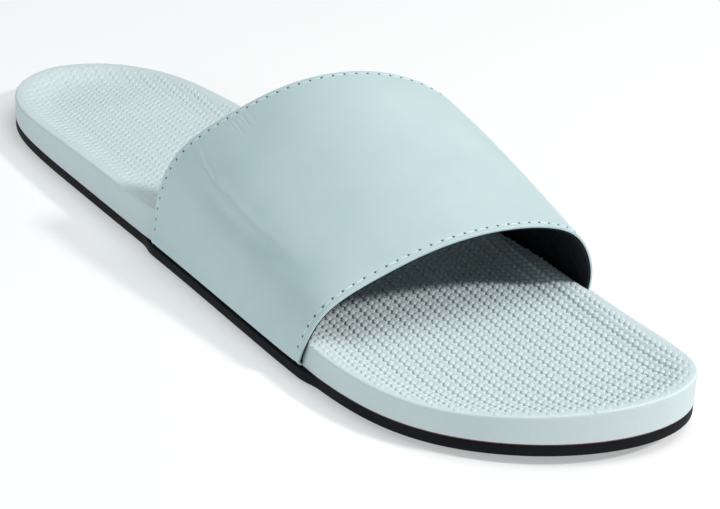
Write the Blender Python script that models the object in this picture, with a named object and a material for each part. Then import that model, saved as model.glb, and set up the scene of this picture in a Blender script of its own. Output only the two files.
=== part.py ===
"""Slide sandal for the right foot: an outsole, a dished footbed and one broad strap.

The toe points along -Y, the big-toe side is +X and the floor is at Z = 0.
"""
import math

import bmesh
import bpy
import numpy as np

# Overall sizes, in metres
SOLE_LENGTH = 0.281
SOLE_WIDTH = 0.086
INSTEP_HEIGHT = 0.0625
RIM_HEIGHT = 0.0130

# Outsole
OUTSOLE_THICKNESS = 0.0033
OUTSOLE_ROUNDING = 0.0006
OUTSOLE_BULGE = 0.0012
TOE_SPRING = 0.0035
HEEL_SPRING = 0.0004

# Footbed
DISH_DEPTH = 0.0028
DISH_INSET = 0.0140
RIM_ROUNDING = 0.0012
FLANK_PRESS = 0.0009

# Strap
STRAP_WALL = 0.0013
STRAP_OVERHANG = 0.0014
STRAP_MARGIN = 0.0120
FOLD_RADIUS = 0.0017
PRESS_RAMP = 0.0080

# Gap left between pieces that touch
CLEARANCE = 0.0003

# Mesh steps along one side of the sole, across it, and over the strap
SIDE_STEPS = 60
CROSS_STEPS = 8
STRAP_STEPS_OVER = 48
STRAP_STEPS_ALONG = 14

# Sole outline, heel tip first, then the outer side to the toe and the inner side back
# Columns: along as a share of SOLE_LENGTH from the heel, across as a share of SOLE_WIDTH
OUTLINE = [
    (0.000, -0.015),
    (0.010, -0.144),
    (0.035, -0.247),
    (0.080, -0.327),
    (0.150, -0.373),
    (0.250, -0.398),
    (0.360, -0.420),
    (0.480, -0.443),
    (0.600, -0.471),
    (0.710, -0.496),
    (0.785, -0.502),
    (0.845, -0.476),
    (0.895, -0.410),
    (0.937, -0.305),
    (0.968, -0.184),
    (0.990, -0.045),
    (1.000, 0.115),
    (0.993, 0.252),
    (0.973, 0.342),
    (0.940, 0.388),
    (0.885, 0.418),
    (0.815, 0.446),
    (0.745, 0.473),
    (0.670, 0.482),
    (0.580, 0.459),
    (0.490, 0.413),
    (0.400, 0.366),
    (0.310, 0.342),
    (0.220, 0.340),
    (0.145, 0.336),
    (0.080, 0.302),
    (0.035, 0.220),
    (0.010, 0.116),
]
TOE_ROW = 16

# Height of the footbed's rim over the outsole's underside
# Columns: along, outer side, inner side, both as shares of RIM_HEIGHT
RIM = [
    (0.00, 0.78, 0.77),
    (0.06, 0.80, 0.83),
    (0.12, 0.865, 0.92),
    (0.20, 0.958, 1.01),
    (0.30, 1.02, 1.07),
    (0.40, 1.03, 1.08),
    (0.50, 1.00, 1.07),
    (0.60, 0.93, 1.04),
    (0.70, 0.85, 1.00),
    (0.80, 0.80, 0.95),
    (0.90, 0.81, 0.93),
    (1.00, 0.95, 0.95),
]

# Fall of the footbed from its rim towards the middle
# Columns: distance in from the wall as a share of DISH_INSET, fall as a share of DISH_DEPTH
DISH = [
    (0.22, 0.10),
    (0.42, 0.42),
    (0.66, 0.78),
    (1.00, 1.00),
]

# Top of the strap over the floor
# Columns: along as a share of SOLE_LENGTH, height as a share of INSTEP_HEIGHT
RIDGE = [
    (0.40, 1.037),
    (0.50, 0.997),
    (0.60, 0.881),
    (0.70, 0.703),
    (0.80, 0.538),
]

# Section of the strap from its outer foot to its inner foot
# Columns: across as a share of the width between the feet, height as a share of the rise
SECTION = [
    (0.000, 0.00),
    (0.006, 0.08),
    (0.019, 0.19),
    (0.078, 0.43),
    (0.250, 0.69),
    (0.433, 0.90),
    (0.701, 1.00),
    (0.878, 0.90),
    (0.975, 0.61),
    (1.006, 0.27),
    (1.000, 0.00),
]

# Cut of the strap's two edges
# Columns: share of the way over the strap, rear edge and front edge along the sole
EDGES = [
    (0.00, 0.434, 0.723),
    (0.15, 0.441, 0.734),
    (0.33, 0.489, 0.753),
    (0.67, 0.592, 0.788),
    (0.85, 0.610, 0.790),
    (1.00, 0.579, 0.784),
]

# Where the sole is flat on the floor, as shares of SOLE_LENGTH
FLAT_FROM = 0.12
FLAT_TO = 0.66


def clear_scene():
    """Remove the objects of the open file."""
    for thing in list(bpy.data.objects):
        bpy.data.objects.remove(thing, do_unlink=True)


def spline(knots, values, closed=False):
    """Return a smooth curve through rows of values at rising knots."""
    knots = np.asarray(knots, float)
    values = np.asarray(values, float).reshape(len(knots), -1)
    spans = np.diff(knots)
    slopes = np.diff(values, axis=0) / spans[:, None]
    count = len(knots)
    system = np.zeros((count, count))
    target = np.zeros_like(values)
    for i in range(1, count - 1):
        system[i, i - 1] = spans[i - 1]
        system[i, i] = 2 * (spans[i - 1] + spans[i])
        system[i, i + 1] = spans[i]
        target[i] = 6 * (slopes[i] - slopes[i - 1])
    if closed:
        system[0, 0] = 2 * (spans[-1] + spans[0])
        system[0, 1] = spans[0]
        system[0, -2] = spans[-1]
        target[0] = 6 * (slopes[0] - slopes[-1])
        system[-1, 0] = 1
        system[-1, -1] = -1
    else:
        system[0, 0] = 1
        system[-1, -1] = 1
    bend = np.linalg.solve(system, target)

    def at(where):
        where = np.clip(np.atleast_1d(where), knots[0], knots[-1])
        i = np.clip(np.searchsorted(knots, where, side="right") - 1, 0, count - 2)
        span = spans[i][:, None]
        near = (knots[i + 1] - where)[:, None] / span
        far = 1 - near
        curve = (near ** 3 - near) * bend[i] + (far ** 3 - far) * bend[i + 1]
        return near * values[i] + far * values[i + 1] + curve * span * span / 6

    return at


def chord_knots(points):
    """Return the running length of the chain of points."""
    steps = np.linalg.norm(np.diff(points, axis=0), axis=1)
    return np.concatenate([[0.0], np.cumsum(steps)])


def table(rows, column):
    """Return one column of a table as a smooth function of its first column."""
    rows = np.asarray(rows, float)
    curve = spline(rows[:, 0], rows[:, column])
    return lambda where: curve(where)[:, 0]


class Outline:
    """The sole's outline, sampled in pairs from the heel tip to the toe tip."""

    def __init__(self):
        shares = np.asarray(OUTLINE, float)
        points = np.column_stack([shares[:, 1] * SOLE_WIDTH, shares[:, 0] * SOLE_LENGTH])
        points = np.vstack([points, points[:1]])
        knots = chord_knots(points)
        curve = spline(knots, points, closed=True)
        toe = knots[TOE_ROW]
        outer = np.linspace(0, toe, SIDE_STEPS + 1)
        inner = np.linspace(knots[-1], toe, SIDE_STEPS + 1)
        where = np.concatenate([outer, inner[-2:0:-1]])
        step = 1e-4
        ahead = curve((where + step) % knots[-1])
        behind = curve((where - step) % knots[-1])
        travel = ahead - behind
        travel /= np.linalg.norm(travel, axis=1)[:, None]
        self.points = curve(where)
        self.inward = np.column_stack([travel[:, 1], -travel[:, 0]])
        self.is_inner = np.arange(len(where)) > SIDE_STEPS
        fine_outer = curve(np.linspace(0, toe, 400))
        fine_inner = curve(np.linspace(knots[-1], toe, 400))
        self.outer_line = fine_outer
        self.inner_line = fine_inner
        self.middle = 0.0

    def across(self, along, inner):
        """Return how far across the outline lies at a distance from the heel."""
        line = self.inner_line if inner else self.outer_line
        return np.interp(along, line[:, 1], line[:, 0])

    def ring(self, inset):
        """Return the outline moved inwards by one inset, or by one for each point."""
        return self.points + self.inward * np.broadcast_to(inset, len(self.points))[:, None]

    def place(self, flat, height):
        """Turn across and along into X and Y, with the given heights."""
        across = flat[..., 0] - self.middle
        along = SOLE_LENGTH / 2 - flat[..., 1]
        return np.stack([across, along, np.broadcast_to(height, across.shape)], axis=-1)


def underside(along):
    """Height of the outsole's underside: flat, then lifted at the heel and toe."""
    share = np.asarray(along) / SOLE_LENGTH
    toe = np.clip((share - FLAT_TO) / (1 - FLAT_TO), 0, None)
    heel = np.clip((FLAT_FROM - share) / FLAT_FROM, 0, None)
    return TOE_SPRING * toe ** 2 + HEEL_SPRING * heel ** 2


def strap_span(inner):
    """Return where the strap meets the sole on one side, from its rear to its front."""
    row = EDGES[-1] if inner else EDGES[0]
    return row[1] * SOLE_LENGTH, row[2] * SOLE_LENGTH


def pressed(outline, along):
    """Return 1 where the strap grips the sole, easing to 0 past its edges."""
    grip = np.zeros(len(along))
    for inner in (False, True):
        rear, front = strap_span(inner)
        rise = np.clip((along - rear) / PRESS_RAMP + 1, 0, 1)
        fall = np.clip((front - along) / PRESS_RAMP + 1, 0, 1)
        ease = np.minimum(rise, fall)
        side = outline.is_inner if inner else ~outline.is_inner
        grip = np.where(side, ease * ease * (3 - 2 * ease), grip)
    return grip


def material(name, colour, roughness):
    """Make a plain surface of one colour."""
    made = bpy.data.materials.new(name)
    made.use_nodes = True
    shader = made.node_tree.nodes["Principled BSDF"]
    shader.inputs["Base Color"].default_value = (*colour, 1.0)
    shader.inputs["Roughness"].default_value = roughness
    shader.inputs["Metallic"].default_value = 0.0
    return made


def add_object(name, mesh_data, surface, smooth_angle):
    """Put a finished mesh in the scene as one named, smooth-shaded piece."""
    vertices, faces = mesh_data
    mesh = bpy.data.meshes.new(name)
    build = bmesh.new()
    corners = [build.verts.new(point) for point in vertices]
    for face in faces:
        build.faces.new([corners[i] for i in face])
    bmesh.ops.recalc_face_normals(build, faces=build.faces)
    bmesh.ops.triangulate(build, faces=build.faces)
    build.to_mesh(mesh)
    build.free()
    mesh.shade_smooth()
    mesh.set_sharp_from_angle(angle=math.radians(smooth_angle))
    piece = bpy.data.objects.new(name, mesh)
    bpy.context.collection.objects.link(piece)
    if surface:
        mesh.materials.append(surface)
    return piece


def sole_mesh(outline, rings):
    """Stack rings from the bottom up and close the first and the last across the sole."""
    count = len(outline.points)
    vertices = [outline.place(flat, height) for flat, height in rings]
    faces = []
    for level in range(len(rings) - 1):
        for i in range(count):
            j = (i + 1) % count
            low = level * count
            high = low + count
            faces.append((low + i, low + j, high + j, high + i))
    total = len(rings) * count
    for level in (0, len(rings) - 1):
        flat, height = rings[level]
        ring_points = outline.place(flat, height)
        lines = []
        for i in range(1, SIDE_STEPS):
            left = ring_points[i]
            right = ring_points[count - i]
            shares = np.linspace(0, 1, CROSS_STEPS + 1)[1:-1, None]
            between = left + (right - left) * shares
            vertices.append(between)
            inside = list(range(total, total + CROSS_STEPS - 1))
            total += CROSS_STEPS - 1
            lines.append([level * count + i] + inside + [level * count + count - i])
        for line, following in zip(lines, lines[1:]):
            for k in range(CROSS_STEPS):
                faces.append((line[k], following[k], following[k + 1], line[k + 1]))
        for tip, line in ((level * count, lines[0]), (level * count + SIDE_STEPS, lines[-1])):
            for k in range(CROSS_STEPS):
                faces.append((tip, line[k], line[k + 1]))
    return np.vstack(vertices), faces


def build_outsole(outline):
    """Model the thin rubber outsole, a little proud where the strap pulls round it."""
    bulge = -OUTSOLE_BULGE * pressed(outline, outline.points[:, 1])
    rings = []
    for inset, level in (
        (OUTSOLE_ROUNDING, 0.0),
        (0.0, OUTSOLE_ROUNDING),
        (0.0, OUTSOLE_THICKNESS - OUTSOLE_ROUNDING / 2),
        (OUTSOLE_ROUNDING / 2, OUTSOLE_THICKNESS),
    ):
        flat = outline.ring(bulge + inset)
        rings.append((flat, underside(flat[:, 1]) + level))
    surface = material("black_rubber", (0.018, 0.020, 0.023), 0.55)
    return add_object("outsole", sole_mesh(outline, rings), surface, 40)


def rim_height(outline):
    """Height of the footbed's rim over the floor at each point of the outline."""
    share = outline.points[:, 1] / SOLE_LENGTH
    outer = table(RIM, 1)(share)
    inner = table(RIM, 2)(share)
    height = np.where(outline.is_inner, inner, outer) * RIM_HEIGHT
    return height + underside(outline.points[:, 1])


def build_footbed(outline):
    """Model the foam footbed: a smooth wall, a raised rim and a dished top."""
    grip = pressed(outline, outline.points[:, 1])
    wall = (CLEARANCE + STRAP_WALL - STRAP_OVERHANG) * grip
    leaning = wall + FLANK_PRESS * grip
    rim = rim_height(outline)
    bottom = outline.ring(wall)
    floor = OUTSOLE_THICKNESS + CLEARANCE
    rings = [(bottom, underside(bottom[:, 1]) + floor)]
    rings.append((outline.ring(leaning), rim - RIM_ROUNDING))
    rings.append((outline.ring(leaning + RIM_ROUNDING * 0.3), rim - RIM_ROUNDING * 0.3))
    rings.append((outline.ring(leaning + RIM_ROUNDING), rim))
    for inset, fall in DISH:
        ring_height = rim - fall * DISH_DEPTH
        rings.append((outline.ring(leaning + inset * DISH_INSET), ring_height))
    surface = material("pale_foam", (0.62, 0.71, 0.73), 0.7)
    footbed = add_object("footbed", sole_mesh(outline, rings), surface, 40)
    for inner in (False, True):
        add_cut(footbed, margin_cutter(outline, inner))
    return footbed


def margin_cutter(outline, inner):
    """Model the space that the strap's turned-in margin fills under the footbed."""
    rear, front = strap_span(inner)
    stations = np.linspace(rear - CLEARANCE, front + CLEARANCE, 16)
    sign = 1 if inner else -1
    reach = STRAP_MARGIN + FOLD_RADIUS + CLEARANCE
    vertices = []
    for along in stations:
        edge = outline.across(along, inner) + sign * STRAP_OVERHANG
        sole_top = underside(along) + OUTSOLE_THICKNESS
        low = sole_top - CLEARANCE
        high = sole_top + STRAP_WALL + 2 * CLEARANCE
        for across, height in (
            (edge + sign * FOLD_RADIUS, low),
            (edge + sign * FOLD_RADIUS, high),
            (edge - sign * reach, high),
            (edge - sign * reach, low),
        ):
            vertices.append(outline.place(np.array([across, along]), height))
    faces = [(3, 2, 1, 0)]
    for step in range(len(stations) - 1):
        base = step * 4
        for k in range(4):
            following = (k + 1) % 4
            faces.append((base + k, base + following, base + 4 + following, base + 4 + k))
    last = len(vertices) - 4
    faces.append((last, last + 1, last + 2, last + 3))
    name = "inner_margin_cut" if inner else "outer_margin_cut"
    cutter = add_object(name, (vertices, faces), None, 30)
    cutter.hide_render = True
    cutter.display_type = "WIRE"
    return cutter


def add_cut(piece, cutter):
    """Cut one piece by a hidden one."""
    cut = piece.modifiers.new(cutter.name, "BOOLEAN")
    cut.operation = "DIFFERENCE"
    cut.solver = "EXACT"
    cut.object = cutter


def strap_columns():
    """Return the columns over the strap: part, and how far along that part."""
    columns = []
    for share in (1.0, 0.5):
        columns.append(("outer_margin", share))
    for k in range(5):
        columns.append(("outer_fold", k / 5))
    for k in range(STRAP_STEPS_OVER + 1):
        columns.append(("body", k / STRAP_STEPS_OVER))
    for k in range(4, -1, -1):
        columns.append(("inner_fold", k / 5))
    for share in (0.5, 1.0):
        columns.append(("inner_margin", share))
    return columns


def strap_surface(outline):
    """Work out the strap's outer surface as rows from its rear edge to its front edge."""
    shares = np.asarray(SECTION, float)
    real = shares * np.array([SOLE_WIDTH, INSTEP_HEIGHT])
    knots = chord_knots(real)
    section = spline(knots / knots[-1], shares)
    rear_edge = table(EDGES, 1)
    front_edge = table(EDGES, 2)
    ridge = table(RIDGE, 1)
    rows = []
    for row in range(STRAP_STEPS_ALONG + 1):
        forward = row / STRAP_STEPS_ALONG
        line = []
        for part, share in strap_columns():
            inner = part.startswith("inner")
            over = share if part == "body" else float(inner)
            rear = rear_edge(over)[0]
            front = front_edge(over)[0]
            along = (rear + (front - rear) * forward) * SOLE_LENGTH
            foot = underside(along) + OUTSOLE_THICKNESS + CLEARANCE
            outer_foot = outline.across(along, False) - STRAP_OVERHANG
            inner_foot = outline.across(along, True) + STRAP_OVERHANG
            edge = inner_foot if inner else outer_foot
            sign = 1 if inner else -1
            if part == "body":
                across_share, rise_share = section(over)[0]
                across = outer_foot + (inner_foot - outer_foot) * across_share
                start = foot + FOLD_RADIUS
                top = ridge(along / SOLE_LENGTH)[0] * INSTEP_HEIGHT
                height = start + (top - start) * rise_share
            elif part.endswith("fold"):
                turn = share * math.pi / 2
                across = edge - sign * FOLD_RADIUS * (1 - math.sin(turn))
                height = foot + FOLD_RADIUS * (1 - math.cos(turn))
            else:
                across = edge - sign * (FOLD_RADIUS + STRAP_MARGIN * share)
                height = foot
            line.append(outline.place(np.array([across, along]), height))
        rows.append(line)
    return np.array(rows)


def unit(vectors):
    """Scale vectors to a length of one."""
    return vectors / np.linalg.norm(vectors, axis=-1, keepdims=True)


def bisectors(grid):
    """Return the mean direction at each point of the lines along the second axis."""
    steps = unit(np.diff(grid, axis=1))
    inside = unit(steps[:, :-1] + steps[:, 1:])
    return np.concatenate([steps[:, :1], inside, steps[:, -1:]], axis=1)


def build_strap(outline):
    """Model the strap as one wall, turned in under the footbed on both sides."""
    outside = strap_surface(outline)
    over = bisectors(outside)
    along = bisectors(outside.transpose(1, 0, 2)).transpose(1, 0, 2)
    out = unit(np.cross(along, over))
    inside = outside - STRAP_WALL * out
    rows, columns = outside.shape[:2]
    size = rows * columns
    vertices = np.vstack([outside.reshape(-1, 3), inside.reshape(-1, 3)])
    faces = []
    for r in range(rows - 1):
        for c in range(columns - 1):
            a = r * columns + c
            b = a + 1
            d = a + columns
            e = d + 1
            faces.append((a, b, e, d))
            faces.append((size + a, size + d, size + e, size + b))
    border = [c for c in range(columns)]
    border += [r * columns + columns - 1 for r in range(1, rows)]
    border += [(rows - 1) * columns + c for c in range(columns - 2, -1, -1)]
    border += [r * columns for r in range(rows - 2, 0, -1)]
    for a, b in zip(border, border[1:] + border[:1]):
        faces.append((a, b, size + b, size + a))
    surface = material("pale_strap", (0.52, 0.62, 0.64), 0.5)
    return add_object("strap", (vertices, faces), surface, 40)


def centre(outline, grid):
    """Set the middle of the sandal halfway between its widest points."""
    widest = np.concatenate([grid[..., 0].ravel(), outline.points[:, 0]])
    outline.middle = (widest.min() + widest.max()) / 2


def main():
    clear_scene()
    outline = Outline()
    centre(outline, strap_surface(outline))
    build_outsole(outline)
    build_footbed(outline)
    build_strap(outline)


main()
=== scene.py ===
"""Looks of the slide sandal: its foam footbed, leather strap and rubber outsole."""
import math

import bmesh
import bpy
import numpy as np
from mathutils import Matrix, Vector
from mathutils.bvhtree import BVHTree


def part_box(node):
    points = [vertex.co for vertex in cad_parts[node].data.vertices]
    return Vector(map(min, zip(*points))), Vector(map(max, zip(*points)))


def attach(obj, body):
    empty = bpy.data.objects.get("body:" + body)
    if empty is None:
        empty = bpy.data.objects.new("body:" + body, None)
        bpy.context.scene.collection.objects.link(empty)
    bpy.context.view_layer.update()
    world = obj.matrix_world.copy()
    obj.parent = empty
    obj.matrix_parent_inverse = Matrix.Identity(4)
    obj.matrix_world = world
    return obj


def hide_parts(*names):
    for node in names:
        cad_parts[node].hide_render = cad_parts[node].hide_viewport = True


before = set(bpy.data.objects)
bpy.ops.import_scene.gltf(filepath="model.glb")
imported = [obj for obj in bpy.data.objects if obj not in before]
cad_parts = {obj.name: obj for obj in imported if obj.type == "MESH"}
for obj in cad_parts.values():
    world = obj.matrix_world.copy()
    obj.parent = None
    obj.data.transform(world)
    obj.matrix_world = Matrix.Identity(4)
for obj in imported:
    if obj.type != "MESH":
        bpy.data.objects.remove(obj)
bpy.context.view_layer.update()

bl_info = {
    "name": "Slide sandal",
    "version": (1, 0, 0),
    "blender": (4, 5, 0),
    "location": "View3D > Sidebar > Sandal",
    "description": "Makes the pieces of a slide sandal with one broad strap",
    "category": "Add Mesh",
}

SOLE_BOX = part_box("outsole")
STRAP_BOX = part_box("strap")

# Sole outline, heel tip first, then the outer side to the toe and the inner side back
# Columns: along as a share of the sole's length from the heel, across as a share of its width
OUTLINE = [
    (0.000, -0.015), (0.010, -0.144), (0.035, -0.247), (0.080, -0.327), (0.150, -0.373),
    (0.250, -0.398), (0.360, -0.420), (0.480, -0.443), (0.600, -0.471), (0.710, -0.496),
    (0.785, -0.502), (0.845, -0.476), (0.895, -0.410), (0.937, -0.305), (0.968, -0.184),
    (0.990, -0.045), (1.000, 0.115), (0.993, 0.252), (0.973, 0.342), (0.940, 0.388),
    (0.885, 0.418), (0.815, 0.446), (0.745, 0.473), (0.670, 0.482), (0.580, 0.459),
    (0.490, 0.413), (0.400, 0.366), (0.310, 0.342), (0.220, 0.340), (0.145, 0.336),
    (0.080, 0.302), (0.035, 0.220), (0.010, 0.116),
]
TOE_ROW = 16  # the outline's row at the toe tip

# Height of the footbed's rim over the outsole's underside
# Columns: along, outer side, inner side, both as shares of the rim's height
RIM = [
    (0.00, 0.78, 0.77), (0.06, 0.80, 0.83), (0.12, 0.865, 0.92), (0.20, 0.958, 1.01),
    (0.30, 1.02, 1.07), (0.40, 1.03, 1.08), (0.50, 1.00, 1.07), (0.60, 0.93, 1.04),
    (0.70, 0.85, 1.00), (0.80, 0.80, 0.95), (0.90, 0.81, 0.93), (1.00, 0.95, 0.95),
]

# Fall of the footbed from its rim towards the middle
# Columns: distance in from the wall as a share of the dish's inset, fall as a share of its depth
DISH = [
    (0.00, 0.00), (0.10, 0.03), (0.22, 0.10), (0.42, 0.42), (0.66, 0.78), (0.85, 0.96),
    (1.00, 1.00),
]

# Top of the strap over the floor
# Columns: along as a share of the sole's length, height as a share of the instep's height
RIDGE = [
    (0.40, 1.037), (0.50, 0.997), (0.60, 0.881), (0.70, 0.703), (0.80, 0.538),
]

# Section of the strap from its outer foot to its inner foot
# Columns: across as a share of the width between the feet, height as a share of the rise
SECTION = [
    (0.000, 0.00), (0.006, 0.08), (0.019, 0.19), (0.078, 0.43), (0.250, 0.69), (0.433, 0.90),
    (0.701, 1.00), (0.878, 0.90), (0.975, 0.61), (1.006, 0.27), (1.000, 0.00),
]

# Cut of the strap's two edges
# Columns: share of the way over the strap, rear edge and front edge along the sole
EDGES = [
    (0.00, 0.434, 0.723), (0.15, 0.441, 0.734), (0.33, 0.489, 0.753), (0.67, 0.592, 0.788),
    (0.85, 0.610, 0.790), (1.00, 0.579, 0.784),
]

# Soft folds, creases and fine wrinkles of the strap
# Columns: half width and depth in millimetres, below zero for a ridge, then the way it runs
# as shares over the strap and from its rear edge to its front
CREASES = [
    (2.8, 0.60, [
        (0.165, 0.06), (0.157, 0.19), (0.150, 0.30), (0.146, 0.42),
        (0.147, 0.54), (0.154, 0.66), (0.170, 0.78), (0.200, 0.90),
    ]),
    (1.7, -0.36, [
        (0.197, 0.09), (0.188, 0.18), (0.178, 0.28), (0.173, 0.39),
        (0.173, 0.50), (0.176, 0.59), (0.187, 0.70),
    ]),
    (0.45, -0.16, [(0.200, 0.100), (0.188, 0.188), (0.174, 0.280)]),
    (0.45, 0.18, [(0.205, 0.100), (0.193, 0.190), (0.179, 0.290)]),
    (0.40, -0.14, [(0.208, 0.060), (0.195, 0.145)]),
    (0.40, 0.14, [(0.176, 0.300), (0.170, 0.400)]),
    (0.26, 0.06, [(0.275, 0.020), (0.268, 0.095)]),
    (0.26, 0.11, [(0.284, 0.015), (0.275, 0.125)]),
    (0.26, 0.13, [(0.291, 0.020), (0.281, 0.150)]),
    (0.26, 0.09, [(0.299, 0.040), (0.293, 0.120)]),
    (0.26, 0.12, [(0.308, 0.020), (0.297, 0.145)]),
    (0.26, 0.06, [(0.319, 0.045), (0.311, 0.120)]),
    (4.0, 0.12, [(0.44, 0.22), (0.42, 0.34)]),
]

# Section of the cement line in metres
# Columns: distance in from the footbed's wall, height over the rubber
CEMENT = [
    (0.0001, -0.00005), (-0.00002, 0.0001), (0.0001, 0.00032), (0.0031, 0.00032),
    (0.0031, -0.00005),
]

# Small parts that repeat, from the bottom up: distance in from the side, height as a share
HERRINGBONE_BAR = ((0.0, 0.0), (0.02, 0.5), (0.07, 0.88), (0.16, 1.0))
TREAD_BAR = ((0.0, 0.0), (0.0, 0.7), (0.06, 1.0))
STITCH = ((0.2, -0.5), (0.05, -0.1), (0.1, 0.25), (0.24, 0.5))
NEEDLE_HOLE = ((0.0, -0.5), (0.0, 0.1), (0.12, 0.2))

# Between these shares of its length the sole lies flat on the floor
FLAT_FROM = 0.12
FLAT_TO = 0.66

# Lamps: name, place, target, size, power, colour
WHITE = (1.0, 0.99, 0.97)
LAMPS = [
    ("key_light", (0.64, -0.98, 0.95), (0.0, -0.03, 0.02), 0.15, 13.2, WHITE),
    ("top_light", (0.35, -0.40, 1.30), (0.0, 0.0, 0.02), 0.9, 8.8, WHITE),
    ("side_fill", (-1.15, 0.15, 0.45), (0.0, 0.0, 0.02), 0.8, 4.0, (0.84, 0.98, 1.0)),
]
CAMERA_TURN = (-38.2, 26.3, 2.92)  # degrees round the sandal, up and rolled
CAMERA_TARGET = (0.0138, -0.01255)  # across from the heel's middle line, and along
CAMERA_DISTANCE = 0.602
CAMERA_LENS = 102.6  # millimetres


def metres(name, default, about):
    """Declare a length."""
    return bpy.props.FloatProperty(
        name=name, default=default, description=about, min=0.0, unit="LENGTH", precision=5
    )


def share(name, default, about):
    """Declare a share of something."""
    return bpy.props.FloatProperty(name=name, default=default, description=about, min=0.0)


def angle(name, degrees, about):
    """Declare an angle."""
    return bpy.props.FloatProperty(
        name=name, default=math.radians(degrees), description=about, subtype="ANGLE"
    )


def paint(name, red, green, blue, about):
    """Declare a colour, given as seen on a screen from 0 to 255."""
    return bpy.props.FloatVectorProperty(
        name=name,
        default=(linear(red), linear(green), linear(blue)),
        description=about,
        subtype="COLOR",
        size=3,
        min=0.0,
        max=1.0,
    )


def linear(value):
    """Turn a screen value from 0 to 255 into a share of light."""
    value = value / 255
    return value / 12.92 if value <= 0.04045 else ((value + 0.055) / 1.055) ** 2.4


class SoleSizes(bpy.types.PropertyGroup):
    """Sizes of the outsole and the footbed."""

    length: metres("Sole length", SOLE_BOX[1][1] - SOLE_BOX[0][1], "Heel tip to toe tip")
    width: metres("Sole width", 0.086, "Width across the ball")
    rim_height: metres("Rim height", 0.0130, "Height of the footbed's rim over the underside")
    rubber: metres("Outsole thickness", 0.0033, "Thickness of the rubber outsole")
    rubber_rounding: metres("Outsole rounding", 0.0006, "Radius of the outsole's edges")
    bulge: metres("Outsole bulge", 0.0012, "How far the outsole stands out under the strap")
    toe_spring: metres("Toe spring", 0.0035, "Lift of the toe tip over the floor")
    heel_spring: metres("Heel spring", 0.0004, "Lift of the heel tip over the floor")
    dish_depth: metres("Dish depth", 0.0028, "Fall from the rim to the footbed's middle")
    dish_inset: metres("Dish inset", 0.0140, "Width of the slope inside the rim")
    rim_rounding: metres("Rim rounding", 0.0008, "Radius of the rim's outer corner")
    press: metres("Flank press", 0.0009, "How far the strap presses the footbed's rim in")
    press_ramp: metres("Press ramp", 0.0080, "Length over which the press fades")
    gap: metres("Gap", 0.0003, "Gap between pieces that touch")


class StrapSizes(bpy.types.PropertyGroup):
    """Sizes of the strap, its lining and its stitches."""

    instep: metres("Instep height", 0.0625, "Height of the strap at the sole's middle")
    wall: metres("Strap wall", 0.0013, "Leather and lining together")
    leather: metres("Leather", 0.0006, "Thickness of the outer leather")
    girth: metres("Girth", 0.1437, "Way over the strap from foot to foot")
    reach: metres("Reach", 0.0700, "Mean way from the rear edge to the front edge")
    overhang: metres("Overhang", 0.0014, "How far the strap's feet stand outside the sole")
    margin: metres("Turned margin", 0.0120, "Width turned in under the footbed")
    fold: metres("Fold radius", 0.0017, "Radius where the strap turns under")
    edge_rounding: metres("Edge rounding", 0.00022, "Radius of the cut edges")
    rear_row: metres("Rear row", 0.0014, "Distance of the rear stitches from the edge")
    front_row: metres("Front row", 0.0018, "Distance of the front stitches from the edge")
    stitch_pitch: metres("Stitch pitch", 0.0032, "Distance from one needle hole to the next")
    stitch_width: metres("Thread width", 0.00050, "Thickness of the thread")
    hole: metres("Needle hole", 0.00060, "Width of a needle hole")


class TextureSizes(bpy.types.PropertyGroup):
    """Sizes of the raised herringbone on the footbed and of the tread."""

    bar_length: metres("Bar length", 0.00284, "Length of one rear bar with its gap")
    bar_width: metres("Bar width", 0.00186, "Width of one rear bar with its gap")
    front_share: share("Front share", 0.88, "Size of a front bar against a rear one")
    rear_height: metres("Rear bar height", 0.00020, "Height of a rear bar over the footbed")
    bar_height: metres("Front bar height", 0.00056, "Height of a front bar over the footbed")
    low_share: share("Low share", 0.6, "Height of the bars across against the steep ones")
    lean: angle("Lean", 13, "Lean of the steep bars towards the sole's length")
    bar_gap: metres("Bar gap", 0.00034, "Gap between two bars")
    border: metres("Border", 0.0011, "Plain border inside the rim")
    fade: metres("Fade", 0.0045, "Width over which the bars grow to full height")
    turn: angle("Turn", 8.5, "Turn of the rows against the sole's length")
    sunk: metres("Sunk", 0.00008, "How deep a bar's foot stands in the foam")
    tread_pitch: metres("Tread pitch", 0.0085, "Distance from one tread bar to the next")
    tread_depth: metres("Tread depth", 0.0006, "Depth of the tread")
    tread_length: metres("Tread bar length", 0.0052, "Length of a tread bar")
    tread_width: metres("Tread bar width", 0.0026, "Width of a tread bar")
    tread_border: metres("Tread border", 0.0062, "Plain border round the tread")
    tread_sunk: metres("Tread sunk", 0.0002, "How deep a tread bar's foot stands in the rubber")


class SandalColours(bpy.types.PropertyGroup):
    """Colours of the sandal."""

    foam: paint("Foam", 216, 227, 229, "Footbed top")
    foam_shade: paint("Foam shade", 207, 220, 223, "Slow variation of the footbed")
    # Painted shade: the two foam wall colours are the footbed's own foam set darker, for the sides
    # that face away from the light.
    wall: paint("Foam wall", 206, 217, 219, "Smooth side of the footbed")
    wall_painted_shade_variation: paint("Foam wall shade", 199, 210, 212, "Slow variation of the footbed's side")
    strap: paint("Strap", 197, 214, 216, "Outer leather of the strap")
    strap_shade: paint("Strap shade", 186, 205, 208, "Slow variation of the leather")
    lining: paint("Lining", 16, 19, 22, "Lining of the strap")
    thread: paint("Thread", 200, 216, 219, "Stitching thread")
    hole: paint("Needle hole", 88, 102, 108, "Shade in a needle hole")
    rubber: paint("Rubber", 13, 15, 19, "Outsole")
    cement: paint("Cement line", 104, 62, 56, "Line between outsole and footbed")


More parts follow.
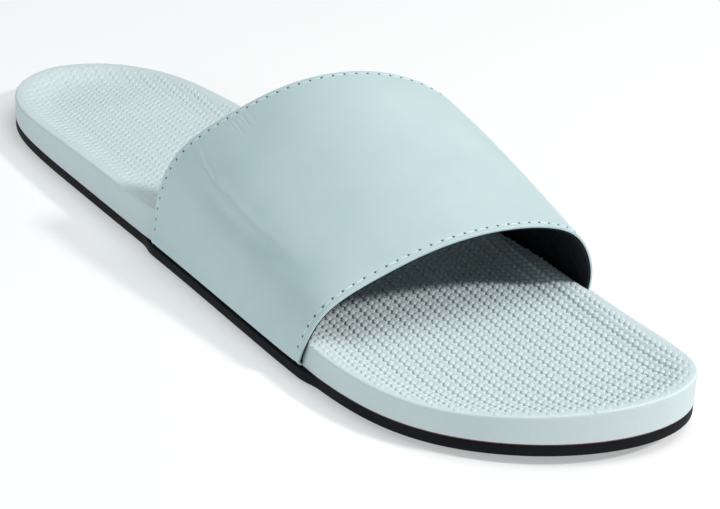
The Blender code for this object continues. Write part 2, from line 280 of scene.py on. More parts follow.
def spline(knots, values, closed=False):
    """Return a smooth curve through rows of values at rising knots."""
    knots = np.asarray(knots, float)
    values = np.asarray(values, float).reshape(len(knots), -1)
    spans = np.diff(knots)
    slopes = np.diff(values, axis=0) / spans[:, None]
    count = len(knots)
    system = np.zeros((count, count))
    target = np.zeros_like(values)
    target[1:-1] = 6 * np.diff(slopes, axis=0)
    for i in range(1, count - 1):
        before, after = spans[i - 1], spans[i]
        system[i, i - 1:i + 2] = before, 2 * (before + after), after
    if closed:
        system[0, [0, 1, -2]] = 2 * (spans[-1] + spans[0]), spans[0], spans[-1]
        system[-1, [0, -1]] = 1, -1
        target[0] = 6 * (slopes[0] - slopes[-1])
    else:
        system[0, 0] = system[-1, -1] = 1
    bend = np.linalg.solve(system, target)

    def at(where):
        where = np.clip(np.atleast_1d(where), knots[0], knots[-1])
        i = np.clip(np.searchsorted(knots, where, side="right") - 1, 0, count - 2)
        span = spans[i][..., None]
        near = (knots[i + 1] - where)[..., None] / span
        far = 1 - near
        curve = (near ** 3 - near) * bend[i] + (far ** 3 - far) * bend[i + 1]
        return near * values[i] + far * values[i + 1] + curve * span * span / 6

    return at


def table(rows, column):
    """Return one column of a table as a smooth function of its first column."""
    rows = np.asarray(rows, float)
    curve = spline(rows[:, 0], rows[:, column])
    return lambda where: curve(where)[..., 0]


def chord_knots(points):
    """Return the running length of the chain of points."""
    steps = np.linalg.norm(np.diff(points, axis=0), axis=1)
    return np.concatenate([[0.0], np.cumsum(steps)])


def smoothstep(value):
    """Ease from 0 to 1."""
    value = np.clip(value, 0, 1)
    return value * value * (3 - 2 * value)


def unit(vectors):
    """Scale vectors to a length of one."""
    return vectors / np.linalg.norm(vectors, axis=-1, keepdims=True)


class Sole:
    """The sole's outline and heights, sampled in pairs from the heel tip to the toe tip."""

    def __init__(self, sizes, strap, steps):
        self.sizes = sizes
        self.steps = steps
        shares = np.asarray(OUTLINE, float)
        points = np.column_stack([shares[:, 1] * sizes.width, shares[:, 0] * sizes.length])
        points = np.vstack([points, points[:1]])
        knots = chord_knots(points)
        curve = spline(knots, points, closed=True)
        toe = knots[TOE_ROW]
        outer = np.linspace(0, toe, steps + 1)
        inner = np.linspace(knots[-1], toe, steps + 1)
        where = np.concatenate([outer, inner[-2:0:-1]])
        step = 1e-4
        travel = unit(curve((where + step) % knots[-1]) - curve((where - step) % knots[-1]))
        self.points = curve(where)
        self.inward = np.column_stack([travel[:, 1], -travel[:, 0]])
        self.is_inner = np.arange(len(where)) > steps
        self.outer_line = curve(np.linspace(0, toe, 400))
        self.inner_line = curve(np.linspace(knots[-1], toe, 400))
        self.middle = 0.0
        low, high = STRAP_BOX[0][0], STRAP_BOX[1][0]
        widest = strap_points(self, strap, np.linspace(0, 1, 120), np.linspace(0, 1, 40)[:, None])
        self.middle = (widest[..., 0].min() + widest[..., 0].max()) / 2 - (low + high) / 2

    def across(self, along, inner):
        """Return how far across the outline lies at a distance from the heel."""
        line = self.inner_line if inner else self.outer_line
        return np.interp(along, line[:, 1], line[:, 0])

    def ring(self, inset):
        """Return the outline moved inwards by one inset, or by one for each point."""
        return self.points + self.inward * np.broadcast_to(inset, len(self.points))[:, None]

    def rings(self, out, rows):
        """Return a ring and its heights for each row of inset and level over the underside."""
        flats = [self.ring(out + inset) for inset, _ in rows]
        return [(flat, self.underside(flat[:, 1]) + row[1]) for flat, row in zip(flats, rows)]

    def place(self, across, along, height):
        """Turn across, along and height into a point in the sandal's frame."""
        across, along, height = np.broadcast_arrays(across, along, height)
        return np.stack([across - self.middle, self.sizes.length / 2 - along, height], axis=-1)

    def underside(self, along):
        """Height of the outsole's underside: flat, then lifted at the heel and toe."""
        share = np.asarray(along) / self.sizes.length
        toe = np.clip((share - FLAT_TO) / (1 - FLAT_TO), 0, None)
        heel = np.clip((FLAT_FROM - share) / FLAT_FROM, 0, None)
        return self.sizes.toe_spring * toe ** 2 + self.sizes.heel_spring * heel ** 2

    def grip(self):
        """Return 1 where the strap grips the sole, easing to 0 past its edges."""
        sides = []
        for row in (EDGES[0], EDGES[-1]):
            rise = self.points[:, 1] - row[1] * self.sizes.length
            fall = row[2] * self.sizes.length - self.points[:, 1]
            sides.append(smoothstep(np.minimum(rise, fall) / self.sizes.press_ramp + 1))
        return np.where(self.is_inner, sides[1], sides[0])

    def length_under_strap(self):
        """Return a distance from the heel that the strap hides."""
        return 0.57 * self.sizes.length

    def rim(self):
        """Height of the footbed's rim over the floor at each point of the outline."""
        share = self.points[:, 1] / self.sizes.length
        height = np.where(self.is_inner, table(RIM, 2)(share), table(RIM, 1)(share))
        return height * self.sizes.rim_height + self.underside(self.points[:, 1])


def strap_points(sole, strap, over, forward):
    """Return points of the strap's outer surface between its two feet."""
    over, forward = np.broadcast_arrays(over, forward)
    shares = np.asarray(SECTION, float)
    real = shares * np.array([sole.sizes.width, strap.instep])
    knots = chord_knots(real)
    section = spline(knots / knots[-1], shares)(over)
    rear = table(EDGES, 1)(over)
    front = table(EDGES, 2)(over)
    along = (rear + (front - rear) * forward) * sole.sizes.length
    foot = sole.underside(along) + sole.sizes.rubber + sole.sizes.gap
    outer_foot = sole.across(along, False) - strap.overhang
    inner_foot = sole.across(along, True) + strap.overhang
    across = outer_foot + (inner_foot - outer_foot) * section[..., 0]
    start = foot + strap.fold
    top = table(RIDGE, 1)(along / sole.sizes.length) * strap.instep
    return sole.place(across, along, start + (top - start) * section[..., 1])


def strap_sheet(sole, strap, over, forward):
    """Return the strap's whole outer surface, a row for each share forward."""
    forward = np.asarray(forward)[:, None]
    parts = []
    for inner in (False, True):
        sign = 1 if inner else -1
        row = EDGES[-1] if inner else EDGES[0]
        along = (row[1] + (row[2] - row[1]) * forward) * sole.sizes.length
        foot = sole.underside(along) + sole.sizes.rubber + sole.sizes.gap
        edge = sole.across(along, inner) + sign * strap.overhang
        margin = np.linspace(1, 0, 5)[:-1][None]
        flat = sole.place(edge - sign * (strap.fold + strap.margin * margin), along, foot)
        turn = np.linspace(0, math.pi / 2, 9)[:-1][None]
        across = edge - sign * strap.fold * (1 - np.sin(turn))
        fold = sole.place(across, along, foot + strap.fold * (1 - np.cos(turn)))
        parts.append(np.concatenate([flat, fold], axis=1))
    body = strap_points(sole, strap, over[None], forward)
    return np.concatenate([parts[0], body, parts[1][:, ::-1]], axis=1)


def bisectors(grid):
    """Return the mean direction at each point of the lines along the second axis."""
    steps = unit(np.diff(grid, axis=1))
    inside = unit(steps[:, :-1] + steps[:, 1:])
    return np.concatenate([steps[:, :1], inside, steps[:, -1:]], axis=1)


def outward(grid):
    """Return the outward direction at each point of a strap sheet."""
    over = bisectors(grid)
    along = bisectors(grid.transpose(1, 0, 2)).transpose(1, 0, 2)
    return unit(np.cross(along, over))


def crease_depth(strap, over, forward):
    """Depth of the soft creases at points of the strap, in metres."""
    depth = np.zeros(np.broadcast(over, forward).shape)
    span = np.array([strap.girth, strap.reach])
    across, down = over * span[0], forward * span[1]
    for half, deep, way in CREASES:
        path = np.array(way) * span
        knots = chord_knots(path)
        shares = np.linspace(0, 1, 60)
        path = spline(knots, path)(shares * knots[-1])
        nearest = np.full(depth.shape, np.inf)
        fade = np.zeros(depth.shape)
        for share, spot in zip(shares, path):
            gap = np.hypot(across - spot[0], down - spot[1])
            ease = smoothstep(share / 0.3) * smoothstep((1 - share) / 0.35)
            fade = np.where(gap < nearest, ease, fade)
            nearest = np.minimum(nearest, gap)
        depth += deep / 1000 * fade * np.exp(-((nearest / (half / 1000)) ** 2))
    return depth


def shares_over():
    """Return the strap's columns over the foot, closer together at the fine wrinkles."""
    parts = ((0.0, 0.25, 66), (0.25, 0.34, 54), (0.34, 1.0, 140))
    steps = [np.linspace(start, end, count + 1)[:-1] for start, end, count in parts]
    return np.concatenate(steps + [[1.0]])


def add_object(name, data):
    """Put a new object into the scene."""
    thing = bpy.data.objects.new(name, data)
    bpy.context.scene.collection.objects.link(thing)
    return thing


def new_piece(name, vertices, faces, finish, angle=40):
    """Make a smooth-shaded piece that rides on the sandal."""
    mesh = bpy.data.meshes.new(name)
    mesh.from_pydata(np.asarray(vertices).reshape(-1, 3).tolist(), [], [tuple(f) for f in faces])
    mesh.validate()
    build = bmesh.new()
    build.from_mesh(mesh)
    bmesh.ops.recalc_face_normals(build, faces=build.faces)
    build.to_mesh(mesh)
    build.free()
    mesh.shade_smooth()
    mesh.set_sharp_from_angle(angle=math.radians(angle))
    mesh.materials.append(finish)
    return add_object(name, mesh)


def ring_faces(levels, count, closed=False):
    """Return the faces between rings of equal count that follow each other."""
    faces = []
    for level in range(levels if closed else levels - 1):
        low, high = level * count, (level + 1) % levels * count
        for i in range(count):
            j = (i + 1) % count
            faces.append((low + i, low + j, high + j, high + i))
    return faces


def sole_mesh(sole, rings, cross_steps):
    """Stack rings from the bottom up and close the first and the last across the sole."""
    count = len(sole.points)
    vertices = [sole.place(flat[:, 0], flat[:, 1], height) for flat, height in rings]
    faces = ring_faces(len(rings), count)
    total = len(rings) * count
    for level in (0, len(rings) - 1):
        ring_points = vertices[level]
        lines = []
        for i in range(1, sole.steps):
            shares = np.linspace(0, 1, cross_steps + 1)[1:-1, None]
            left = ring_points[i]
            vertices.append(left + (ring_points[count - i] - left) * shares)
            inside = list(range(total, total + cross_steps - 1))
            total += cross_steps - 1
            lines.append([level * count + i] + inside + [level * count + count - i])
        for line, following in zip(lines, lines[1:]):
            for k in range(cross_steps):
                faces.append((line[k], following[k], following[k + 1], line[k + 1]))
        for tip, line in ((level * count, lines[0]), (level * count + sole.steps, lines[-1])):
            for k in range(cross_steps):
                faces.append((tip, line[k], line[k + 1]))
    return np.vstack(vertices), faces


def layer_mesh(outside, out, deep, profile):
    """Close a layer of the strap between two depths, with the given edge profile in its rows."""
    rows, columns = outside.shape[:2]
    size = rows * columns
    depths = np.stack([np.broadcast_to(profile, rows), np.full(rows, deep)])[..., None, None]
    vertices = (outside - out * depths).reshape(-1, 3)
    faces = []
    for r in range(rows - 1):
        for c in range(columns - 1):
            a = r * columns + c
            d = a + columns
            faces.append((a, a + 1, d + 1, d))
            faces.append((size + a, size + d, size + d + 1, size + a + 1))
    border = list(range(columns))
    border += [r * columns + columns - 1 for r in range(1, rows)]
    border += [(rows - 1) * columns + c for c in range(columns - 2, -1, -1)]
    border += [r * columns for r in range(rows - 2, 0, -1)]
    for a, b in zip(border, border[1:] + border[:1]):
        faces.append((a, b, size + b, size + a))
    return vertices, faces


class Socket:
    """A value in a material's nodes that takes part in sums."""

    def __init__(self, finish, socket):
        self.finish = finish
        self.socket = socket

    def join(self, operation, first, second):
        return self.finish.node("ShaderNodeMath", {"operation": operation}, {0: first, 1: second})

    def __add__(self, other):
        return self.join("ADD", self, other)

    def __radd__(self, other):
        return self.join("ADD", other, self)

    def __mul__(self, other):
        return self.join("MULTIPLY", self, other)

    def __rmul__(self, other):
        return self.join("MULTIPLY", other, self)


class Finish:
    """A material with one shader, built node by node."""

    def __init__(self, name, **fixed):
        self.material = bpy.data.materials.new(name)
        self.material.use_nodes = True
        self.tree = self.material.node_tree
        self.shader = self.tree.nodes["Principled BSDF"]
        for socket, value in fixed.items():
            self.shader.inputs[socket.replace("_", " ")].default_value = value
        self.place = self.node("ShaderNodeTexCoord", {}, {}, "Object")

    def node(self, kind, settings, sockets, output=0):
        """Add a node, make its settings, fill its sockets and return one of its outputs."""
        made = self.tree.nodes.new(kind)
        for name, value in settings.items():
            setattr(made, name, value)
        for name, value in sockets.items():
            if isinstance(value, Socket):
                self.tree.links.new(value.socket, made.inputs[name])
            else:
                made.inputs[name].default_value = value
        return Socket(self, made.outputs[output])

    def noise(self, scale, detail=2.0, roughness=0.5):
        """Return a soft noise over the piece, from 0 to 1."""
        sockets = {"Vector": self.place, "Scale": scale, "Detail": detail, "Roughness": roughness}
        return self.node("ShaderNodeTexNoise", {}, sockets, "Fac")

    def ramp(self, value, low, high):
        """Stretch a value so that low becomes 0 and high becomes 1."""
        sockets = {"Value": value, "From Min": low, "From Max": high}
        return self.node("ShaderNodeMapRange", {"clamp": True}, sockets, "Result")

    def blend(self, share, first, second):
        """Mix two colours."""
        sockets = {0: share, 6: (*first, 1.0), 7: (*second, 1.0)}
        return self.node("ShaderNodeMix", {"data_type": "RGBA"}, sockets, 2)

    def feed(self, socket, value):
        """Link a value to the shader."""
        self.tree.links.new(value.socket, self.shader.inputs[socket])

    def relief(self, height, distance, strength):
        """Turn a height into fine relief of the surface."""
        sockets = {"Height": height, "Distance": distance, "Strength": strength}
        bump = self.node("ShaderNodeBump", {}, sockets, "Normal")
        self.feed("Normal", bump)


def foam_finish(name, light, shade):
    """Matte moulded foam with a fine skin, faint clouding and a slight speckle."""
    finish = Finish(name, Specular_IOR_Level=0.35)
    cloud = finish.ramp(finish.noise(22.0, 3.0), 0.35, 0.7)
    speckle = finish.ramp(finish.noise(1300.0, 2.0), 0.4, 0.75)
    finish.feed("Base Color", finish.blend(cloud * 0.7 + speckle * 0.3, light, shade))
    finish.feed("Roughness", finish.noise(900.0, 2.0) * 0.16 + 0.55)
    finish.relief(finish.noise(1900.0, 3.0, 0.6), 0.00007, 0.7)
    return finish.material


def leather_finish(name, colours):
    """Smooth coated leather with a fine grain and a soft sheen."""
    finish = Finish(name, Specular_IOR_Level=0.4, Coat_Weight=0.06, Coat_Roughness=0.42)
    cloud = finish.ramp(finish.noise(30.0, 4.0, 0.55), 0.3, 0.72)
    finish.feed("Base Color", finish.blend(cloud, colours.strap, colours.strap_shade))
    sockets = {"Vector": finish.place, "Scale": 1700.0}
    cells = finish.node("ShaderNodeTexVoronoi", {"feature": "SMOOTH_F1"}, sockets, "Distance")
    grain = cells * 0.6 + finish.noise(1100.0, 3.0, 0.6) * 0.7 + finish.noise(210.0, 2.0) * 0.8
    finish.feed("Roughness", finish.noise(160.0, 3.0) * 0.14 + 0.42)
    finish.relief(grain, 0.00006, 0.55)
    return finish.material


def plain_finish(name, colour, roughness, scale, depth, gloss=0.3):
    """A matte surface with a fine grain and a little variation."""
    finish = Finish(name, Specular_IOR_Level=gloss)
    lighter = [min(1.0, part * 1.25 + 0.002) for part in colour]
    cloud = finish.ramp(finish.noise(scale * 0.05, 3.0), 0.35, 0.7)
    finish.feed("Base Color", finish.blend(cloud, colour, lighter))
    finish.feed("Roughness", finish.noise(scale * 0.3, 2.0) * 0.15 + (roughness - 0.07))
    finish.relief(finish.noise(scale, 3.0, 0.6), depth, 0.6)
    return finish.material


def lining_finish(name, colours):
    """Black knitted lining with a fine even weave."""
    finish = Finish(name, Roughness=0.85, Specular_IOR_Level=0.25)
    waves = []
    for direction in ("X", "Y"):
        settings = {"wave_type": "BANDS", "bands_direction": direction}
        sockets = {"Vector": finish.place, "Scale": 420.0, "Distortion": 0.6}
        waves.append(finish.node("ShaderNodeTexWave", settings, sockets, "Fac"))
    weave = waves[0] * waves[1]
    lighter = [part * 1.8 + 0.003 for part in colours.lining]
    finish.feed("Base Color", finish.blend(weave, colours.lining, lighter))
    finish.relief(weave, 0.0001, 0.6)
    return finish.material


def settings_of(context):
    """Return the scene's sizes and colours."""
    scene = context.scene
    return scene.sandal_sole, scene.sandal_strap, scene.sandal_texture, scene.sandal_colours


def finish_piece(piece, slot, *nodes):
    """Ride the piece on the sandal and hide the CAD parts that it stands in for."""
    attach(piece, "root")
    if nodes:
        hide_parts(*nodes)


class SANDAL_OT_outsole(bpy.types.Operator):
    """Make the rubber outsole, proud where the strap pulls round it."""

    bl_idname = "sandal.make_outsole"
    bl_label = "Make outsole"

    def execute(self, context):
        sizes, strap, texture, colours = settings_of(context)
        sole = Sole(sizes, strap, 200)
        bulge = -sizes.bulge * sole.grip()
        edge = sizes.rubber_rounding
        rows = [(edge + 0.0016, texture.tread_depth), (edge + 0.0010, 0.0)]
        for turn in np.linspace(0, math.pi / 2, 5):
            rows.append((edge * (1 - math.sin(turn)), edge * (1 - math.cos(turn))))
        for turn in np.linspace(0, math.pi / 2, 4):
            level = sizes.rubber - edge / 2 * (1 - math.sin(turn))
            rows.append((edge / 2 * (1 - math.cos(turn)), level))
        rings = sole.rings(bulge, rows)
        finish = plain_finish("matte_rubber", colours.rubber, 0.6, 1500.0, 0.00008, 0.1)
        piece = new_piece("outsole_rubber", *sole_mesh(sole, rings, 12), finish)
        finish_piece(piece, "outsole", "outsole")
        return {"FINISHED"}


def instancer(name):
    """Build a tree that sets a copy of a small piece on each point, turned and scaled."""
    tree = bpy.data.node_groups.new(name, "GeometryNodeTree")
    given_sockets = [("Geometry", "NodeSocketGeometry")]
    given_sockets += [(size, "NodeSocketFloat") for size in ("Length", "Width", "Height")]
    given_sockets += [("Piece", "NodeSocketObject"), ("Material", "NodeSocketMaterial")]
    for socket, kind in given_sockets:
        tree.interface.new_socket(socket, in_out="INPUT", socket_type=kind)
    tree.interface.new_socket("Geometry", in_out="OUTPUT", socket_type="NodeSocketGeometry")

    def node(kind, sockets, **settings):
        made = tree.nodes.new(kind)
        for setting, value in settings.items():
            setattr(made, setting, value)
        for socket, value in sockets.items():
            if isinstance(value, bpy.types.NodeSocket):
                tree.links.new(value, made.inputs[socket])
            else:
                made.inputs[socket].default_value = value
        return made.outputs

    def attribute(name, kind):
        read = node("GeometryNodeInputNamedAttribute", {"Name": name}, data_type=kind)
        return read["Attribute"]

    given = node("NodeGroupInput", {})
    axes = {
        "Primary Axis": attribute("facing", "FLOAT_VECTOR"),
        "Secondary Axis": attribute("aim", "FLOAT_VECTOR"),
    }
    turn = node("FunctionNodeAxesToRotation", axes, primary_axis="Z", secondary_axis="X")
    heights = {0: given["Height"], 1: attribute("grown", "FLOAT")}
    grow = node("ShaderNodeMath", heights, operation="MULTIPLY")
    sides = {"X": given["Length"], "Y": given["Width"], "Z": grow[0]}
    size = node("ShaderNodeCombineXYZ", sides)
    info = node("GeometryNodeObjectInfo", {"Object": given["Piece"]})
    copies = {
        "Points": given["Geometry"],
        "Instance": info["Geometry"],
        "Rotation": turn["Rotation"],
        "Scale": size["Vector"],
    }
    placed = node("GeometryNodeInstanceOnPoints", copies)
    real = node("GeometryNodeRealizeInstances", {"Geometry": placed["Instances"]})
    coat = {"Geometry": real["Geometry"], "Material": given["Material"]}
    coated = node("GeometryNodeSetMaterial", coat)
    node("NodeGroupOutput", {"Geometry": coated["Geometry"]})
    return tree


def repeated_piece(name, template_mesh, points, facing, aim, grown, scale, finish):
    """Repeat a small piece over points by Geometry Nodes and return one plain mesh."""
    template = add_object(name + "_one", template_mesh)
    cloud = bpy.data.meshes.new(name + "_points")
    cloud.from_pydata(np.asarray(points).tolist(), [], [])
    for attribute, values in (("facing", facing), ("aim", aim)):
        layer = cloud.attributes.new(attribute, "FLOAT_VECTOR", "POINT")
        layer.data.foreach_set("vector", np.asarray(values, float).ravel())
    layer = cloud.attributes.new("grown", "FLOAT", "POINT")
    layer.data.foreach_set("value", np.broadcast_to(grown, len(points)).astype(float))
    carrier = add_object(name + "_carrier", cloud)
    tree = instancer(name + "_nodes")
    values = dict(scale, Piece=template, Material=finish)
    modifier = carrier.modifiers.new("repeat", "NODES")
    modifier.node_group = tree
    for item in tree.interface.items_tree:
        if item.in_out == "INPUT" and item.name in values:
            modifier[item.identifier] = values[item.name]
    carrier.update_tag()
    graph = bpy.context.evaluated_depsgraph_get()
    graph.update()
    mesh = bpy.data.meshes.new_from_object(carrier.evaluated_get(graph), depsgraph=graph)
    if not mesh.polygons:
        raise RuntimeError("no copies were made for " + name)
    mesh.name = name
    mesh.shade_smooth()
    mesh.set_sharp_from_angle(angle=math.radians(60))
    if not mesh.materials:
        mesh.materials.append(finish)
    carrier.modifiers.clear()
    for thing in (carrier, template):
        bpy.data.objects.remove(thing, do_unlink=True)
    return add_object(name, mesh)


def bar_mesh(name, rows):
    """Make one rounded bar of unit size from a few stacked outlines."""
    corners = []
    for inset, level in rows:
        half = 0.5 - inset
        cut = half * 0.34
        for x, y in ((1, 0), (0, 1), (-1, 0), (0, -1)):
            for side in (cut - half, half - cut):
                corners.append((x * half - y * side, y * half + x * side, level))
    faces = ring_faces(len(rows), 8)
    faces.append(tuple(range(7, -1, -1)))
    last = (len(rows) - 1) * 8
    faces.append(tuple(range(last, last + 8)))
    mesh = bpy.data.meshes.new(name)
    mesh.from_pydata(corners, [], faces)
    mesh.validate()
    mesh.shade_smooth()
    return mesh


def inside_distance(sole, flat):
    """Return how far inside the outline each point lies, negative outside."""
    nearest = np.full(len(flat), np.inf)
    inside = np.zeros(len(flat), bool)
    for a, b in zip(sole.points, np.roll(sole.points, -1, axis=0)):
        line = b - a
        share = np.clip(((flat - a) @ line) / (line @ line), 0, 1)
        gap = np.linalg.norm(flat - a - share[:, None] * line, axis=1)
        nearest = np.minimum(nearest, gap)
        crosses = (a[1] > flat[:, 1]) != (b[1] > flat[:, 1])
        with np.errstate(divide="ignore", invalid="ignore"):
            at = (b[0] - a[0]) * (flat[:, 1] - a[1]) / (b[1] - a[1]) + a[0]
        inside ^= crosses & (flat[:, 0] < at)
    return np.where(inside, nearest, -nearest)


def drop_on(piece, points):
    """Drop points on a piece: return where they land, its direction there and which did."""
    tree = BVHTree.FromObject(piece, bpy.context.evaluated_depsgraph_get())
    up = Vector((0, 0, 1))
    places, normals, met = [], [], []
    for point in points:
        found, normal, _, _ = tree.ray_cast(Vector(point), -up)
        met.append(found is not None)
        places.append(found if found else Vector(point))
        normals.append(normal if found else up)
    normals = np.array(normals)
    normals *= np.sign(normals[:, 2:3])
    return np.array(places), normals, np.array(met)


class SANDAL_OT_tread(bpy.types.Operator):
    """Make the plain tread of short bars under the outsole."""

    bl_idname = "sandal.make_tread"
    bl_label = "Make tread"

    def execute(self, context):
        sizes, strap, texture, colours = settings_of(context)
        sole = Sole(sizes, strap, 100)
        pitch = texture.tread_pitch
        across = np.arange(-9, 10) * pitch * 0.72
        along = np.arange(0, int(sizes.length / pitch) + 2) * pitch
        grid = np.stack(np.meshgrid(across, along), axis=-1)
        grid[1::2, :, 0] += pitch * 0.36
        flat = grid.reshape(-1, 2)
        flat = flat[inside_distance(sole, flat) > texture.tread_border]
        height = texture.tread_depth + texture.tread_sunk
        points = sole.place(flat[:, 0], flat[:, 1], sole.underside(flat[:, 1]) + height)
        slope = sole.underside(flat[:, 1] + 0.001) - sole.underside(flat[:, 1] - 0.001)
        facing = unit(np.column_stack([0 * slope, slope * -500, -np.ones(len(slope))]))
        turn = np.where(np.arange(len(flat)) % 2, 0.5, -0.5)
        aim = np.column_stack([np.cos(turn), np.sin(turn), 0 * turn])
        bar = bar_mesh("tread_bar", TREAD_BAR)
        scale = {"Length": texture.tread_length, "Width": texture.tread_width, "Height": height}
        finish = bpy.data.materials["matte_rubber"]
        piece = repeated_piece("outsole_tread", bar, points, facing, aim, 1.0, scale, finish)
        finish_piece(piece, "outsole")
        return {"FINISHED"}


class SANDAL_OT_footbed(bpy.types.Operator):
    """Make the foam footbed: a smooth wall, a raised rim and a dished top."""

    bl_idname = "sandal.make_footbed"
    bl_label = "Make footbed"

    def execute(self, context):
        sizes, strap, texture, colours = settings_of(context)
        sole = Sole(sizes, strap, 200)
        grip = sole.grip()
        wall = (sizes.gap + strap.wall - strap.overhang) * grip
        leaning = wall + sizes.press * grip
        rim = sole.rim()
        edge = sizes.rim_rounding
        low = sole.ring(wall)
        bottom = sole.underside(low[:, 1]) + sizes.rubber + sizes.gap
        lift = (strap.wall + sizes.gap) * (grip > 0.999)
        rings = [(sole.ring(wall + 0.0165), bottom + lift), (low, bottom + lift)]
        for share in (0.25, 0.5, 0.75):
            inset = wall + (leaning - wall) * share
            rings.append((sole.ring(inset), bottom + lift + (rim - edge - bottom - lift) * share))
        for turn in np.linspace(0, math.pi / 2, 6):
            inset = leaning + edge * (1 - math.cos(turn)) * 0.8
            rings.append((sole.ring(inset), rim - edge + edge * math.sin(turn)))
        fall = table(DISH, 1)
        for share in np.linspace(0.12, 1.0, 10):
            height = rim - fall(share)[0] * sizes.dish_depth
            rings.append((sole.ring(leaning + share * sizes.dish_inset), height))
        finish = foam_finish("moulded_foam", colours.foam, colours.foam_shade)
        piece = new_piece("footbed_foam", *sole_mesh(sole, rings, 26), finish, 50)
        # Painted shade: faces steeper than the top get the darker foam wall finish, standing in for
        # the shade on the footbed's sides.
        piece.data.materials.append(foam_finish("foam_wall_painted_shade", colours.wall, colours.wall_painted_shade_variation))
        for face in piece.data.polygons:
            face.material_index = int(face.normal.z < 0.6)
        finish_piece(piece, "footbed", "footbed")
        return {"FINISHED"}


class SANDAL_OT_herringbone(bpy.types.Operator):
    """Make the raised herringbone bars on the footbed."""

    bl_idname = "sandal.make_herringbone"
    bl_label = "Make herringbone"

    def execute(self, context):
        sizes, strap, texture, colours = settings_of(context)
        sole = Sole(sizes, strap, 100)
        share = texture.front_share
        split = sole.length_under_strap()
        self.bars(sole, texture, "rear", 1.0, texture.rear_height, (0.0, split))
        self.bars(sole, texture, "front", share, texture.bar_height, (split, sizes.length))
        return {"FINISHED"}

    def bars(self, sole, texture, name, share, height, span):
        """Lay the bars of one size between two distances from the heel."""
        long, wide = texture.bar_length * share, texture.bar_width * share
        places, aims = [], []
        reach = int(sole.sizes.length / wide)
        for i in range(-reach, reach):
            for j in range(-40, 41):
                base = np.array([i * wide + j * long, i * wide - j * long])
                places.append(base + (long / 2, wide / 2))
                aims.append(0.0)
                places.append(base + (long + wide / 2, wide - long / 2))
                aims.append(math.pi / 2 - texture.lean)
        turn = math.pi / 4 + texture.turn
        spin = np.array([[math.cos(turn), math.sin(turn)], [-math.sin(turn), math.cos(turn)]])
        flat = np.array(places) @ spin + (0.0, sole.sizes.length / 2)
        steep = np.array(aims) > 1
        aims = np.array(aims) + turn
        deep = inside_distance(sole, flat)
        keep = (deep > texture.border) & (flat[:, 1] > span[0]) & (flat[:, 1] < span[1])
        flat, aims, deep, steep = (part[keep] for part in (flat, aims, deep, steep))
        footbed = bpy.data.objects["footbed_foam"]
        points, facing, met = drop_on(footbed, sole.place(flat[:, 0], flat[:, 1], 0.05))
        aim = np.column_stack([np.cos(aims), -np.sin(aims), 0 * aims])
        grown = 0.25 + 0.75 * smoothstep((deep - texture.border) / texture.fade)
        grown *= np.where(steep, 1.0, texture.low_share)
        points = points - facing * texture.sunk
        bar = bar_mesh("herringbone_bar", HERRINGBONE_BAR)
        scale = {
            "Length": long - texture.bar_gap,
            "Width": wide - texture.bar_gap,
            "Height": height + texture.sunk,
        }
        finish = bpy.data.materials["moulded_foam"]
        rows = (part[met] for part in (points, facing, aim, grown))
        piece = repeated_piece("footbed_texture_" + name, bar, *rows, scale, finish)
        finish_piece(piece, "footbed")


class SANDAL_OT_strap(bpy.types.Operator):
    """Make the strap's outer leather and its black lining."""

    bl_idname = "sandal.make_strap"
    bl_label = "Make strap"

    def execute(self, context):
        sizes, strap, texture, colours = settings_of(context)
        sole = Sole(sizes, strap, 200)
        length = (EDGES[2][2] - EDGES[2][1]) * sizes.length
        edge = strap.edge_rounding
        turns = np.linspace(math.pi / 2, 0, 5)
        rounding = edge / length * (1 - np.sin(turns))
        depth = edge * (1 - np.cos(turns))
        inner_rows = np.linspace(rounding[-1], 1 - rounding[-1], 92)[1:-1]
        forward = np.concatenate([rounding, inner_rows, 1 - rounding[::-1]])
        profile = np.concatenate([depth, np.zeros(len(inner_rows)), depth[::-1]])
        over = shares_over()
        outside = strap_sheet(sole, strap, over, forward)
        out = outward(outside)
        relief = np.zeros(outside.shape[:2])
        relief[:, 12:-12] = crease_depth(strap, over[None], forward[:, None])
        for row, along in ((strap.rear_row, 0), (strap.front_row, 1)):
            distance = np.abs(forward[:, None] - along) * length
            relief += 0.00012 * np.exp(-(((distance - row) / 0.0006) ** 2))
        sunk = outside - out * relief[..., None]
        finish = leather_finish("strap_leather", colours)
        mesh = layer_mesh(sunk, out, strap.leather, profile)
        leather = new_piece("strap_leather", *mesh, finish, 50)
        finish_piece(leather, "strap", "strap")
        back = 0.00025 / length
        forward = np.linspace(back, 1 - back, 60)
        over = np.linspace(0, 1, 161)
        outside = strap_sheet(sole, strap, over, forward)
        out = outward(outside)
        settle = np.zeros(outside.shape[:2])
        settle[:, 12:-12] = np.maximum(crease_depth(strap, over[None], forward[:, None]), 0)
        start = outside - out * (strap.leather + 0.00003 + settle)[..., None]
        finish = lining_finish("black_lining", colours)
        thick = strap.wall - strap.leather - 0.00003
        mesh = layer_mesh(start, out, thick, np.zeros(len(forward)))
        lining = new_piece("strap_lining", *mesh, finish, 50)
        finish_piece(lining, "strap")
        return {"FINISHED"}


